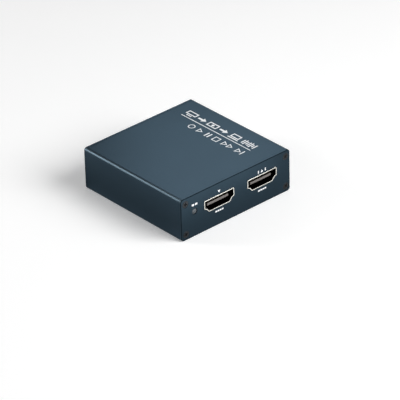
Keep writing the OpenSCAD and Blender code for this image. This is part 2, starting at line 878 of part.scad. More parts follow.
module power_lamp() {
  color(lamp_white) at_rear(power_x, pipe_z) lamp();
}

// Board

module main_board() {
  color(board_green) difference() {
    translate([-board_w / 2, -board_l / 2, board_z]) cube([board_w, board_l, board_t]);
    for (x = [video_in_x, video_out_x]) at_front(x, video_z) video_legs(leg_clear);
    at_rear(data_x, data_z) {
      data_legs(leg_clear);
      data_pins(leg_clear);
    }
    for (x = [line_in_x, line_out_x]) at_rear(x, jack_z) jack_legs(leg_clear);
  }
}

// Board parts

// A row of small parts across the board
module small_row(y, height) {
  for (i = [0:small_count - 1])
    on_board([(i - (small_count - 1) / 2) * small_pitch, y], [small_w, small_d, height]);
}

// Leads along the front and rear of a chip, and along its two sides
module lead_rows(place, size, count, pitch) {
  for (i = [0:count - 1], side = [-1, 1])
    on_board(
      place + [(i - (count - 1) / 2) * pitch, side * (size + lead_l - join) / 2],
      [lead_w, lead_l + join, tail_t]
    );
}

module lead_columns(place, size, count, pitch) {
  for (i = [0:count - 1], side = [-1, 1])
    on_board(
      place + [side * (size + lead_l - join) / 2, (i - (count - 1) / 2) * pitch],
      [lead_l + join, lead_w, tail_t]
    );
}

module capture_processor() {
  color(chip_black) on_board(processor_place, [processor_w, processor_w, processor_h]);
}

module heat_sink() {
  step = (sink_w - sink_fin_t) / (sink_fins - 1);
  color(bare_metal) translate([processor_place[0], processor_place[1], board_top + processor_h]) {
    block([-sink_w / 2, -sink_w / 2, 0], [sink_w / 2, sink_w / 2, sink_base]);
    for (i = [0:sink_fins - 1]) translate([-sink_w / 2 + i * step, 0, 0])
      block([0, -sink_w / 2, sink_base - join], [sink_fin_t, sink_w / 2, sink_base + sink_fin_h]);
  }
}

module video_receiver() {
  leads = 12;
  pitch = receiver_w / (leads + 1);
  color(chip_black) {
    on_board(receiver_place, [receiver_w, receiver_w, receiver_h]);
    lead_rows(receiver_place, receiver_w, leads, pitch);
    lead_columns(receiver_place, receiver_w, leads, pitch);
  }
}

module memory_chip() {
  color(chip_black) on_board(memory_place, [memory_w, memory_d, memory_h]);
}

module flash_chip() {
  leads = 4;
  color(chip_black) {
    on_board(flash_place, [flash_w, flash_w, flash_h]);
    lead_rows(flash_place, flash_w, leads, flash_w / leads);
  }
}

module audio_codec() {
  color(chip_black) on_board(codec_place, [codec_w, codec_w, codec_h]);
}

module crystals() {
  color(bare_metal) for (p = crystal_places) on_board(p, [crystal_w, crystal_d, crystal_h]);
}

module power_inductors() {
  color(chip_black) for (p = inductor_places) on_board(p, [inductor_w, inductor_w, inductor_h]);
}

module electrolytic_capacitors() {
  color(bare_metal) for (p = can_places) {
    on_board(p, [can_d, can_d, can_base]);
    translate([p[0], p[1], board_top]) cylinder(h = can_h, r = can_d / 2);
  }
}

module voltage_regulators() {
  leads = 3;
  color(chip_black) for (p = regulator_places) {
    on_board(p, [regulator_w, regulator_d, regulator_h]);
    lead_rows(p, regulator_d, leads, regulator_w / leads);
  }
}

module surge_protectors() {
  color(chip_black) for (p = protector_places) on_board(p, [protector_w, protector_d, protector_h]);
}

module ceramic_capacitors() {
  color(ceramic) {
    small_row(front_caps_row, small_h);
    small_row(rear_caps_row, small_h);
  }
}

module chip_resistors() {
  color(chip_black) small_row(resistor_row, resistor_h);
}

case_sleeve();
front_panel();
rear_panel();
front_screws();
rear_screws();
main_board();
video_shell(video_in_x);  // video_in_shell
video_insulator(video_in_x);  // video_in_insulator
video_contacts(video_in_x);  // video_in_contacts
video_shell(video_out_x);  // video_out_shell
video_insulator(video_out_x);  // video_out_insulator
video_contacts(video_out_x);  // video_out_contacts
data_port_shell();
data_port_insulator();
data_port_contacts();
jack_housing(line_in_x);  // line_in_housing
jack_bushing(line_in_x);  // line_in_bushing
jack_tip_spring(line_in_x);  // line_in_tip_spring
jack_ring_spring(line_in_x);  // line_in_ring_spring
jack_leg_set(line_in_x);  // line_in_legs
jack_housing(line_out_x);  // line_out_housing
jack_bushing(line_out_x);  // line_out_bushing
jack_tip_spring(line_out_x);  // line_out_tip_spring
jack_ring_spring(line_out_x);  // line_out_ring_spring
jack_leg_set(line_out_x);  // line_out_legs
status_light_pipe();
status_lamp();
power_light_pipe();
power_lamp();
capture_processor();
heat_sink();
video_receiver();
memory_chip();
flash_chip();
audio_codec();
crystals();
power_inductors();
electrolytic_capacitors();
voltage_regulators();
surge_protectors();
ceramic_capacitors();
chip_resistors();
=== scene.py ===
import math

import bmesh
import bpy
from mathutils import Matrix, Vector

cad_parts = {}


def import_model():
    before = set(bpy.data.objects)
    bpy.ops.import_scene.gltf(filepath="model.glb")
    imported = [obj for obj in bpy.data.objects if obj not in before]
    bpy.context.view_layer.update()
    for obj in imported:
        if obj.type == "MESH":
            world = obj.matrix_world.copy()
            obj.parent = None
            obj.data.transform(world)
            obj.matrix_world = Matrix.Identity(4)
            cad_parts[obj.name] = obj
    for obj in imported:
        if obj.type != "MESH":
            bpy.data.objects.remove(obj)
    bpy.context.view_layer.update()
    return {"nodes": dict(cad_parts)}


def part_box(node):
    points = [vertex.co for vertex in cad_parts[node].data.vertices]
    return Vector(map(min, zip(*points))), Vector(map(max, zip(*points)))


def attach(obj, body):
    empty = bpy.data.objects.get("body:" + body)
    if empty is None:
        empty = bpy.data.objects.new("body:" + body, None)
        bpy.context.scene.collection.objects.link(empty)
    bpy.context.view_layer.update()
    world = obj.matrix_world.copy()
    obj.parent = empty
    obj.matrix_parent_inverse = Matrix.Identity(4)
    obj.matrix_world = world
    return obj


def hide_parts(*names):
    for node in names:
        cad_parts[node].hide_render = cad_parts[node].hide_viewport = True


# Looks of a video capture box: bevelled case, sockets, screws, printed marks and their finishes.
# Metres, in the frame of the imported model: +Z up, the video end faces -Y.
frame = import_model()
nodes = frame["nodes"]

# Sizes of the edges and marks, and steps of the curves
MM = 0.001
CASE_RADIUS = 1.2 * MM
SLEEVE_BEVEL = 0.06 * MM
PANEL_BEVEL = 0.25 * MM
BEVEL_NORMAL = (0.1, 0.99)
SEAM = 0.04 * MM
INK_T = 0.02 * MM
BEVEL_STEPS = 3
ARC_STEPS = 10
ROUND_STEPS = 64
SHARP_ANGLE = math.radians(38)
MERGE = 1e-7

# Sizes of the case, from the frame
sleeve_low, sleeve_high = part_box("case_sleeve")
HALF_W = sleeve_high.x
HEIGHT = sleeve_high.z
SLEEVE_L = sleeve_high.y - sleeve_low.y
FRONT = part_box("front_panel")[0].y
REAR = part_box("rear_panel")[1].y
PANEL_T = sleeve_low.y - FRONT
WALL = 1.2 * MM
BOSS_R = 2.0 * MM
RAIL_W = 1.2 * MM
RAIL_H = 1.1 * MM
SLOT_CLEAR = 0.2 * MM
board_low, board_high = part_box("main_board")

# Sizes of the sockets, light pipes and screws, as in the part
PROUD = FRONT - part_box("video_in_shell")[0].y
PORT_CLEAR = 0.15 * MM
FIT_CLEAR = 0.05 * MM
PLUG_L = 3.0 * MM
FOOT_T = 0.9 * MM
TONGUE_DEEP = 0.8 * MM
LEG_L = 1.4 * MM
SHEET_BEVEL = 0.05 * MM
VIDEO_W, VIDEO_H = 14.0 * MM, 4.55 * MM
VIDEO_SIDE_H = 2.85 * MM
VIDEO_SHOULDER = Vector((0.95 * MM, 0.4 * MM))
VIDEO_FLOOR_W = 10.0 * MM
VIDEO_SHEET = 0.3 * MM
VIDEO_TONGUE = Vector((10.4 * MM, 1.0 * MM))
VIDEO_TONGUE_RISE = 0.05 * MM
VIDEO_LEGS = (4.0 * MM, 9.0 * MM)
VIDEO_ROUND_OUT, VIDEO_ROUND_IN = 0.4 * MM, 0.15 * MM
VIDEO_TONGUE_BEVEL = 0.12 * MM
DATA_W, DATA_H = 12.5 * MM, 5.12 * MM
DATA_SHEET = 0.25 * MM
DATA_TONGUE = Vector((11.1 * MM, 1.84 * MM))
DATA_TONGUE_GAP = 0.8 * MM
DATA_LEGS = (5.0 * MM, 10.5 * MM)
DATA_ROUND_OUT, DATA_ROUND_IN = 0.45 * MM, 0.2 * MM
DATA_TONGUE_BEVEL = 0.15 * MM
GRIP_X, GRIP_W, GRIP_L = 3.0 * MM, 1.8 * MM, 3.2 * MM
GRIP_ROOT = 0.7 * MM
GRIP_RISE, GRIP_END_RISE = 0.7 * MM, 0.3 * MM
GRIP_CREST = 0.5
GRIP_CLEAR = 0.2 * MM
JACK_BORE_R, JACK_RING_R, JACK_SPIGOT_R = 1.8 * MM, 2.65 * MM, 2.3 * MM
JACK_SEAT = 1.5 * MM
JACK_LIP, JACK_EDGE = 0.1 * MM, 0.12 * MM
RING_CLEAR = 0.1 * MM
PIPE_R, PIPE_LEG = 1.2 * MM, 2.0 * MM
PIPE_CLEAR = 0.05 * MM
COLLAR_T = 0.6 * MM
LENS_DOME = 0.35 * MM
SCREW_HEAD_R, SCREW_SHANK_R, SCREW_L = 1.4 * MM, 0.85 * MM, 7.0 * MM
SCREW_CLEAR = 0.05 * MM
SCREW_POINT = 0.9 * MM
SCREW_ROUND = 0.12 * MM
RECESS_L, RECESS_W, RECESS_DEEP = 1.8 * MM, 0.5 * MM, 0.55 * MM
RECESS_TAPER = 0.6
SCREW_TURNS = (14, 58, 33, 79)


# Frames on the faces: X to the right, Y up and Z out of the face, as someone facing it sees them


def face(origin, right, up):
    right, up = Vector(right), Vector(up)
    made = Matrix((right, up, right.cross(up))).transposed().to_4x4()
    made.translation = Vector(origin)
    return made


FRONT_FACE = face((0, FRONT, 0), (1, 0, 0), (0, 0, 1))
REAR_FACE = face((0, REAR, 0), (-1, 0, 0), (0, 0, 1))
TOP_FACE = face((0, 0, HEIGHT), (0, -1, 0), (1, 0, 0))


def span(place, node):
    """The lowest and highest corners of a node in a face's own frame."""
    ends = [place.inverted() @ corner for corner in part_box(node)]
    return Vector(map(min, *ends)), Vector(map(max, *ends))


def middle(place, node):
    low, high = span(place, node)
    return ((low + high) / 2).to_2d()


# Outlines


def turned(start, centre, angle):
    return centre + Matrix.Rotation(angle, 2) @ (start - centre)


def circle(centre, radius, steps=ROUND_STEPS):
    start = centre + Vector((radius, 0))
    return [turned(start, centre, 2 * math.pi * i / steps) for i in range(steps)]


def arc(start, centre, sweep, steps=ARC_STEPS):
    return [turned(start, centre, sweep * k / steps) for k in range(steps + 1)]


def quarter_turn(steps):
    """The angles of a quarter turn."""
    return [math.pi / 2 * k / steps for k in range(steps + 1)]


def rectangle(low, high):
    corners = (low[0], low[1]), (high[0], low[1]), (high[0], high[1]), (low[0], high[1])
    return [Vector(corner) for corner in corners]


def rounded(corners, radius, steps=ARC_STEPS):
    """The outline with every corner rounded."""
    points = []
    for i, corner in enumerate(corners):
        before = (corners[i - 1] - corner).normalized()
        after = (corners[(i + 1) % len(corners)] - corner).normalized()
        half = before.angle(after) / 2
        centre = corner + (before + after).normalized() * radius / math.sin(half)
        start = corner + before * radius / math.tan(half)
        sweep = math.copysign(math.pi - 2 * half, after.x * before.y - after.y * before.x)
        points += arc(start, centre, sweep, steps)
    return points


def grown(outline, distance):
    """An anticlockwise outline, moved outwards."""
    points = []
    for i, here in enumerate(outline):
        first = (here - outline[i - 1]).normalized()
        second = (outline[(i + 1) % len(outline)] - here).normalized()
        normals = Vector((first.y, -first.x)), Vector((second.y, -second.x))
        points.append(here + distance * (normals[0] + normals[1]) / (1 + normals[0].dot(normals[1])))
    return points


def moved(outline, by):
    return [point + by for point in outline]


# Meshes, made in a face's own frame


def solid(outlines, top, thickness, bevel=0.0):
    """A plate with holes and rounded edges, under the height top."""
    curve = bpy.data.curves.new("outline", "CURVE")
    curve.dimensions = "2D"
    curve.fill_mode = "BOTH"
    curve.extrude = thickness / 2 - bevel
    curve.bevel_depth = bevel
    curve.bevel_resolution = BEVEL_STEPS
    curve.offset = -bevel
    for outline in outlines:
        spline = curve.splines.new("POLY")
        spline.points.add(len(outline) - 1)
        spline.use_cyclic_u = True
        for point, place in zip(spline.points, outline):
            point.co = (place.x, place.y, 0, 1)
    holder = bpy.data.objects.new("outline", curve)
    bpy.context.scene.collection.objects.link(holder)
    mesh = bpy.data.meshes.new_from_object(holder.evaluated_get(bpy.context.evaluated_depsgraph_get()))
    bpy.data.objects.remove(holder)
    bpy.data.curves.remove(curve)
    mesh.transform(Matrix.Translation((0, 0, top - thickness / 2)))
    return joined([mesh])


def prism(outline, top, thickness, taper=1.0):
    """A plain prism whose lower end may be smaller."""
    made = bmesh.new()
    middle_point = sum(outline, Vector((0, 0))) / len(outline)
    upper = [made.verts.new((p.x, p.y, top)) for p in outline]
    small = [middle_point + (p - middle_point) * taper for p in outline]
    lower = [made.verts.new((p.x, p.y, top - thickness)) for p in small]
    made.faces.new(upper)
    made.faces.new(lower[::-1])
    for i in range(len(outline)):
        made.faces.new((upper[i - 1], lower[i - 1], lower[i], upper[i]))
    return to_mesh(made)


def lathe(profile, centre=Vector((0, 0)), closed=False):
    """A closed solid of revolution about the face's normal, from points of radius and height."""
    made = bmesh.new()
    rings = []
    for radius, height in profile:
        if radius < MERGE:
            rings.append([made.verts.new((centre.x, centre.y, height))] * ROUND_STEPS)
        else:
            rings.append([made.verts.new((p.x, p.y, height)) for p in circle(centre, radius)])
    pairs = list(zip(rings, rings[1:])) + ([(rings[-1], rings[0])] if closed else [])
    for one, two in pairs:
        for i in range(ROUND_STEPS):
            corners = dict.fromkeys((one[i - 1], two[i - 1], two[i], one[i]))
            made.faces.new(list(corners))
    return to_mesh(made)


def across(profile, x, width, way):
    """A prism across the face, from a profile of depth (way 1) or of height over the face (way -1)."""
    mesh = prism(profile, width / 2, width)
    mesh.transform(Matrix(((0, 0, way, x), (0, 1, 0, 0), (-way, 0, 0, 0), (0, 0, 0, 1))))
    return mesh


def block(low, high, bevel=0.0):
    low, high = Vector(low), Vector(high)
    made = bmesh.new()
    bmesh.ops.create_cube(made, size=1)
    bmesh.ops.scale(made, vec=high - low, verts=made.verts)
    bmesh.ops.translate(made, vec=(low + high) / 2, verts=made.verts)
    if bevel:
        bmesh.ops.bevel(
            made, geom=made.edges, offset=bevel, segments=BEVEL_STEPS, profile=0.5, affect="EDGES"
        )
    return to_mesh(made)


def to_mesh(made):
    bmesh.ops.remove_doubles(made, verts=made.verts, dist=MERGE)
    bmesh.ops.recalc_face_normals(made, faces=made.faces)
    mesh = bpy.data.meshes.new("mesh")
    made.to_mesh(mesh)
    made.free()
    return mesh


def joined(meshes):
    made = bmesh.new()
    for mesh in meshes:
        made.from_mesh(mesh)
        bpy.data.meshes.remove(mesh)
    return to_mesh(made)


def painted(mesh, index):
    """The mesh with all its faces set to one of the piece's finishes."""
    mesh.polygons.foreach_set("material_index", [index] * len(mesh.polygons))
    return mesh


def cut(mesh, *tools):
    """The mesh with the tools' shapes taken away."""
    holders = [bpy.data.objects.new("cut", m) for m in (mesh, *tools)]
    for holder in holders:
        bpy.context.scene.collection.objects.link(holder)
    for tool in holders[1:]:
        step = holders[0].modifiers.new("cut", "BOOLEAN")
        step.object = tool
        step.solver = "EXACT"
    made = bpy.data.meshes.new_from_object(holders[0].evaluated_get(bpy.context.evaluated_depsgraph_get()))
    for holder in holders:
        bpy.data.objects.remove(holder)
    return made


def piece(name, mesh, place, finishes, slot, *stands_for):
    """Puts a mesh on a face as a piece of the case, in place of the named nodes."""
    mesh.transform(place)
    mesh.name = name
    mesh.shade_smooth()
    mesh.set_sharp_from_angle(angle=SHARP_ANGLE)
    indices = [side.material_index for side in mesh.polygons]
    mesh.materials.clear()
    for made in finishes:
        mesh.materials.append(made)
    mesh.polygons.foreach_set("material_index", indices)
    made = bpy.data.objects.new(name, mesh)
    bpy.context.scene.collection.objects.link(made)
    made.modifiers.new("normals", "WEIGHTED_NORMAL").keep_sharp = True
    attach(made, "case")
    if stands_for:
        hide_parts(*stands_for)


# Finishes


def srgb(*levels):
    """A colour from its 0 to 255 levels, as linear light."""
    shares = [level / 255 for level in levels]
    return (*(s / 12.92 if s <= 0.04045 else ((s + 0.055) / 1.055) ** 2.4 for s in shares), 1.0)


# How fine the noise is, and which part of it makes the roughness
CLOUD_DETAIL, GRAIN_DETAIL = 3, 2
GRAIN_LOW, GRAIN_HIGH = 0.3, 0.7


class Finish:
    """A material whose colour, roughness and bump come from noise in the object's own space."""

    def __init__(self, name, low, high, metallic=0.0, rough=(0.4, 0.5), cloud=90, grain=4000, bump=0.004 * MM,
                 stretch=(1, 1, 1), **sockets):
        self.made = bpy.data.materials.new(name)
        self.made.use_nodes = True
        self.tree = self.made.node_tree
        self.shader = self.tree.nodes["Principled BSDF"]
        self.shader.inputs["Metallic"].default_value = metallic
        for socket, value in sockets.items():
            self.shader.inputs[socket.replace("_", " ")].default_value = value
        self.place = self.add("ShaderNodeTexCoord").outputs["Object"]
        mapping = self.add("ShaderNodeMapping", {"Vector": self.place, "Scale": stretch})
        clouds = self.noise(mapping.outputs["Vector"], cloud, CLOUD_DETAIL)
        self.colour = self.mix(clouds, srgb(*low), srgb(*high))
        grains = self.noise(mapping.outputs["Vector"], grain, GRAIN_DETAIL)
        self.link(self.spread(grains, GRAIN_LOW, GRAIN_HIGH, *rough), self.shader.inputs["Roughness"])
        bumps = self.add("ShaderNodeBump", {"Height": grains, "Distance": bump, "Strength": 1.0})
        self.link(bumps.outputs["Normal"], self.shader.inputs["Normal"])
        self.link(self.colour, self.shader.inputs["Base Color"])

    def link(self, source, target):
        self.tree.links.new(source, target)

    def add(self, kind, inputs=None, **settings):
        node = self.tree.nodes.new(kind)
        for key, value in settings.items():
            setattr(node, key, value)
        for key, value in (inputs or {}).items():
            if isinstance(value, bpy.types.NodeSocket):
                self.link(value, node.inputs[key])
            else:
                node.inputs[key].default_value = value
        return node

    def noise(self, place, scale, detail):
        inputs = {"Vector": place, "Scale": scale, "Detail": detail}
        return self.add("ShaderNodeTexNoise", inputs).outputs["Fac"]

    def mix(self, share, low, high):
        """A blend of two colours, whose sockets on the node are numbers 6, 7 and 2."""
        return self.add("ShaderNodeMix", {0: share, 6: low, 7: high}, data_type="RGBA").outputs[2]

    def spread(self, value, low, high, to_low=0.0, to_high=1.0):
        inputs = {"Value": value, "From Min": low, "From Max": high, "To Min": to_low, "To Max": to_high}
        return self.add("ShaderNodeMapRange", inputs, interpolation_type="SMOOTHSTEP").outputs["Result"]

    def math(self, operation, one, two=0.0):
        return self.add("ShaderNodeMath", {0: one, 1: two}, operation=operation).outputs[0]

    def axes(self):
        return self.add("ShaderNodeSeparateXYZ", {"Vector": self.place}).outputs

    def over(self, share, colour):
        """Lays another colour over what is there, by a share."""
        self.colour = self.mix(share, self.colour, colour)
        self.link(self.colour, self.shader.inputs["Base Color"])


# The painted highlight along the sleeve's edges, the depths over which a socket's inside is painted dark as
# shade, and the board's tracks
EDGE_HIGHLIGHT_START, EDGE_HIGHLIGHT_FULL, EDGE_HIGHLIGHT_SHARE = 1.1 * MM, 0.7 * MM, 0.4
RIM_LIGHT = -0.06 * MM
VIDEO_DARK, DATA_DARK = 0.12 * MM, 0.3 * MM
TONGUE_LIGHT, TONGUE_DARK = TONGUE_DEEP + 0.03 * MM, TONGUE_DEEP + 0.15 * MM
INSIDE_SHADE_COLOUR = srgb(20, 19, 18)
TRACK_SCALE, TRACK_RANDOM = 900, 0.7
TRACK_EDGE, TRACK_CORE, TRACK_SHARE = 0.08, 0.04, 0.6


def anodised():
    """Bead-blasted dark petrol anodising, with a paler painted highlight along the sleeve's rounded edges."""
    made = Finish(
        "anodised", (34, 48, 57), (38, 53, 63), metallic=0.9, rough=(0.36, 0.46), cloud=45, grain=9000,
        bump=0.0015 * MM, Specular_Tint=(0.55, 0.57, 0.6, 1.0),
    )
    x, _, z = made.axes()
    from_side = made.math("SUBTRACT", HALF_W, made.math("ABSOLUTE", x))
    from_flat = made.math("SUBTRACT", HEIGHT / 2, made.math("ABSOLUTE", made.math("SUBTRACT", z, HEIGHT / 2)))
    from_edge = made.math("ADD", from_side, from_flat)
    # The paler colour towards the rounded edges is a painted highlight.
    made.over(made.spread(from_edge, EDGE_HIGHLIGHT_START, EDGE_HIGHLIGHT_FULL, 0.0, EDGE_HIGHLIGHT_SHARE), srgb(130, 150, 163))
    return made.made


def paint_inside_shade(made, place, start, end):
    """Paints shade into a finish: darker between two depths behind an end's face, where a socket's inside lies
    in shade.
    """
    y = made.axes()[1]
    depth = made.math("MULTIPLY", made.math("SUBTRACT", y, place.translation.y), -place.col[2].y)
    made.over(made.spread(depth, start, end), INSIDE_SHADE_COLOUR)
    return made.made


def board():
    """Green solder mask over a net of paler tracks."""
    made = Finish(
        "board", (15, 74, 50), (22, 92, 64), rough=(0.28, 0.4), cloud=120, grain=3000, bump=0.003 * MM
    )
    inputs = {"Vector": made.place, "Scale": TRACK_SCALE, "Randomness": TRACK_RANDOM}
    net = made.add("ShaderNodeTexVoronoi", inputs, feature="DISTANCE_TO_EDGE")
    tracks = made.spread(net.outputs["Distance"], TRACK_EDGE, TRACK_CORE, 0.0, TRACK_SHARE)
    made.over(tracks, srgb(58, 138, 98))
    return made.made


def plated(name, low, high, rough=(0.18, 0.3)):
    return Finish(name, low, high, metallic=1.0, rough=rough, cloud=500, grain=8000, bump=0.0004 * MM)


def moulded(name, low, high):
    return Finish(name, low, high, rough=(0.42, 0.56), cloud=400, grain=6000)


ANODISED = anodised()
# A dark, matt finish for the panels' edge bevels: painted shade of the seam between panel and sleeve.
SEAM_SHADE = Finish(
    "seam_shade", (23, 32, 38), (29, 40, 47), rough=(0.6, 0.75), cloud=300, grain=9000, bump=0.001 * MM,
    Specular_IOR_Level=0.0,
).made
DARK_STEEL = Finish(
    "dark_steel", (32, 36, 40), (46, 50, 54), metallic=0.85, rough=(0.34, 0.5), cloud=900, grain=7000,
    bump=0.003 * MM,
).made
# Near-black for the screws' cross recesses: painted shade in the recess.
RECESS_SHADE = Finish("recess_shade", (9, 9, 10), (15, 15, 16), rough=(0.7, 0.85), cloud=900, grain=7000).made
# The socket shells and the video tongues are painted dark inside as shade, from the given depths on.
VIDEO_SHELL = paint_inside_shade(
    plated("video_shell", (208, 207, 200), (222, 221, 214), (0.36, 0.5)), FRONT_FACE, RIM_LIGHT, VIDEO_DARK
)
VIDEO_TONGUE_PLASTIC = paint_inside_shade(
    moulded("video_tongue", (94, 89, 86), (108, 103, 99)), FRONT_FACE, TONGUE_LIGHT, TONGUE_DARK
)
DATA_SHELL = paint_inside_shade(
    plated("data_shell", (124, 123, 124), (140, 139, 140), (0.3, 0.44)), REAR_FACE, RIM_LIGHT, DATA_DARK
)
# Bright spring metal, made near-white and half metallic as a painted glint on the springs.
GRIP_GLINT = Finish(
    "grip_glint", (238, 239, 239), (248, 249, 249), metallic=0.3, rough=(0.3, 0.42), cloud=400, grain=6000,
    bump=0.001 * MM,
).made
BLUE_PLASTIC = moulded("blue_plastic", (84, 160, 224), (98, 174, 236)).made
BLACK_PLASTIC = moulded("black_plastic", (14, 14, 15), (22, 22, 23)).made
NICKEL = plated("nickel", (202, 205, 209), (216, 219, 223), (0.2, 0.32)).made
FROSTED = Finish(
    "frosted", (50, 57, 62), (66, 74, 80), rough=(0.16, 0.26), cloud=900, grain=7000, bump=0.001 * MM
).made
GOLD = plated("gold", (205, 160, 74), (222, 180, 92)).made
# A darker copy of the gold: painted shade for contacts deep in a socket.
SHADED_GOLD = plated("shaded_gold", (84, 66, 36), (102, 80, 46)).made
INK = Finish(
    "ink", (236, 238, 240), (246, 247, 248), rough=(0.5, 0.62), cloud=700, grain=9000, bump=0.001 * MM
).made
CHIP_EPOXY = Finish(
    "chip", (24, 25, 27), (34, 35, 37), rough=(0.5, 0.68), cloud=600, grain=4000, bump=0.006 * MM
).made
BLACK_FINS = Finish(
    "heat_sink", (34, 36, 39), (46, 48, 52), metallic=0.8, rough=(0.4, 0.52), cloud=300, grain=6000,
    stretch=(8, 1, 1),
).made
INNER_FINISHES = {
    "board": board(),
    "moulded_black": BLACK_PLASTIC,
    "gold": GOLD,
    "nickel": NICKEL,
    "tinned": plated("tinned", (196, 198, 200), (214, 216, 218), (0.28, 0.42)).made,
    "lamp": moulded("lamp", (214, 206, 160), (232, 224, 182)).made,
    "chip": CHIP_EPOXY,
    "heat_sink": BLACK_FINS,
    "can": plated("can", (190, 193, 196), (210, 212, 215), (0.22, 0.36)).made,
    "ceramic": moulded("ceramic", (160, 124, 86), (186, 148, 106)).made,
}


# Case


def case_outline(top):
    return rounded(rectangle((-HALF_W, 0), (HALF_W, top)), CASE_RADIUS, 2 * ARC_STEPS)


def corner_places(place):
    """The four screws' places on an end."""
    low, high = span(place, "front_screws" if place is FRONT_FACE else "rear_screws")
    inset = Vector((SCREW_HEAD_R, SCREW_HEAD_R))
    return rectangle(low.to_2d() + inset, high.to_2d() - inset)


def boss_arc(boss, start, end):
    """The way round a corner boss, clockwise, from one point on it to another."""
    first, last = [math.atan2(p.y - boss.y, p.x - boss.x) for p in (start, end)]
    return arc(start, boss, (last - first) % (2 * math.pi) - 2 * math.pi)


def sleeve_room():
    """The hollow of the sleeve, round the corner bosses and the board's guide rails."""
    half, ceiling = HALF_W - WALL, HEIGHT - WALL
    rail_x = half - RAIL_W
    slot_top = board_high.z + SLOT_CLEAR
    low, high = corner_places(FRONT_FACE)[1:3]
    low_arc = boss_arc(
        low,
        Vector((low.x - math.sqrt(BOSS_R ** 2 - (low.y - WALL) ** 2), WALL)),
        Vector((rail_x, low.y + math.sqrt(BOSS_R ** 2 - (rail_x - low.x) ** 2))),
    )
    high_arc = boss_arc(
        high,
        Vector((half, high.y - math.sqrt(BOSS_R ** 2 - (half - high.x) ** 2))),
        Vector((high.x - math.sqrt(BOSS_R ** 2 - (ceiling - high.y) ** 2), ceiling)),
    )
    rails = [
        (rail_x, board_low.z), (half, board_low.z), (half, slot_top), (rail_x, slot_top),
        (rail_x, slot_top + RAIL_H), (half, slot_top + RAIL_H),
    ]
    side = low_arc + [Vector(p) for p in rails] + high_arc
    return side + [Vector((-p.x, p.y)) for p in reversed(side)]


def sleeve():
    holes = [circle(p, SCREW_SHANK_R + SCREW_CLEAR) for p in corner_places(FRONT_FACE)]
    outlines = [case_outline(HEIGHT - INK_T), sleeve_room(), *holes]
    mesh = solid(outlines, -PANEL_T - SEAM, SLEEVE_L - 2 * SEAM, SLEEVE_BEVEL)
    piece("sleeve", mesh, FRONT_FACE, [ANODISED], "anodised", "case_sleeve")


def panel(name, place, openings, node):
    """An end plate whose rounded outer edge is painted dark as the shade of the seam, cut flat behind, with
    its openings and screw holes.
    """
    plate = solid([case_outline(HEIGHT)], 0, PANEL_T + 2 * PANEL_BEVEL, PANEL_BEVEL)
    behind = block((-2 * HALF_W, -HEIGHT, -2 * PANEL_T), (2 * HALF_W, 2 * HEIGHT, -PANEL_T))
    holes = [circle(p, SCREW_HEAD_R + SCREW_CLEAR) for p in corner_places(place)]
    mesh = cut(plate, behind, *[prism(outline, PANEL_T, 3 * PANEL_T) for outline in (*openings, *holes)])
    # The bevel faces get the seam's painted shade.
    least, most = BEVEL_NORMAL
    for side in mesh.polygons:
        side.material_index = int(least < abs(side.normal.z) < most)
    piece(name, mesh, place, [ANODISED, SEAM_SHADE], "anodised", node)


def screw(centre, turn):
    cone = SCREW_HEAD_R - SCREW_SHANK_R
    rim = 2 * SCREW_ROUND
    edge = [
        (SCREW_HEAD_R - SCREW_ROUND * (1 - math.sin(a)), -SCREW_ROUND * (1 - math.cos(a)))
        for a in quarter_turn(BEVEL_STEPS)
    ]
    profile = [
        (0, 0), *edge, (SCREW_HEAD_R, -rim), (SCREW_SHANK_R, -rim - cone),
        (SCREW_SHANK_R, SCREW_POINT - SCREW_L), (0, -SCREW_L),
    ]
    arm, half = RECESS_L / 2, RECESS_W / 2
    quarter = [Vector((arm, -half)), Vector((arm, half)), Vector((half, half))]
    start = math.radians(turn)
    cross = [centre + Matrix.Rotation(start + math.pi / 2 * k, 2) @ p for k in range(4) for p in quarter]
    mesh = cut(lathe(profile, centre), prism(cross, SCREW_ROUND, SCREW_ROUND + RECESS_DEEP, RECESS_TAPER))
    # The faces inside the cross recess get the painted shade.
    for side in mesh.polygons:
        inside = (side.center.to_2d() - centre).length < arm and -RECESS_DEEP - MERGE < side.center.z < -MERGE
        side.material_index = int(inside)
    return mesh


def screws(name, place, node):
    mesh = joined([screw(p, turn) for p, turn in zip(corner_places(place), SCREW_TURNS)])
    piece(name, mesh, place, [DARK_STEEL, RECESS_SHADE], "dark_steel", node)


# Sockets


def shell_legs(place, node, centre, half_w, sheet, depths):
    """The soldered legs on both sides of a shell."""
    low = span(place, node)[0].y
    legs = []
    for side in (-1, 1):
        ends = sorted((side * half_w, side * (half_w + sheet)))
        for depth in depths:
            legs.append(block(
                (centre.x + ends[0], low, -depth - LEG_L / 2),
                (centre.x + ends[1], centre.y, LEG_L / 2 - depth),
            ))
    return legs


def video_outline():
    half, top = VIDEO_W / 2, VIDEO_H / 2
    knee = top - VIDEO_SIDE_H
    inner = Vector((half - VIDEO_SHOULDER.x, knee - VIDEO_SHOULDER.y))
    side = [Vector((VIDEO_FLOOR_W / 2, -top)), inner, Vector((half, knee)), Vector((half, top))]
    return side + [Vector((-p.x, p.y)) for p in reversed(side)]


def opening_middle(place, node, sheet, height):
    """The middle of a shell's opening."""
    low, high = span(place, node)
    return Vector(((low.x + high.x) / 2, high.y - sheet - height / 2))


def shell_tube(place, node, outline, sheet, round_out, round_in):
    """The folded sheet round a socket's opening."""
    rim = [rounded(grown(outline, sheet), round_out), rounded(outline, round_in)]
    return solid(rim, PROUD, PROUD - span(place, node)[0].z, SHEET_BEVEL)


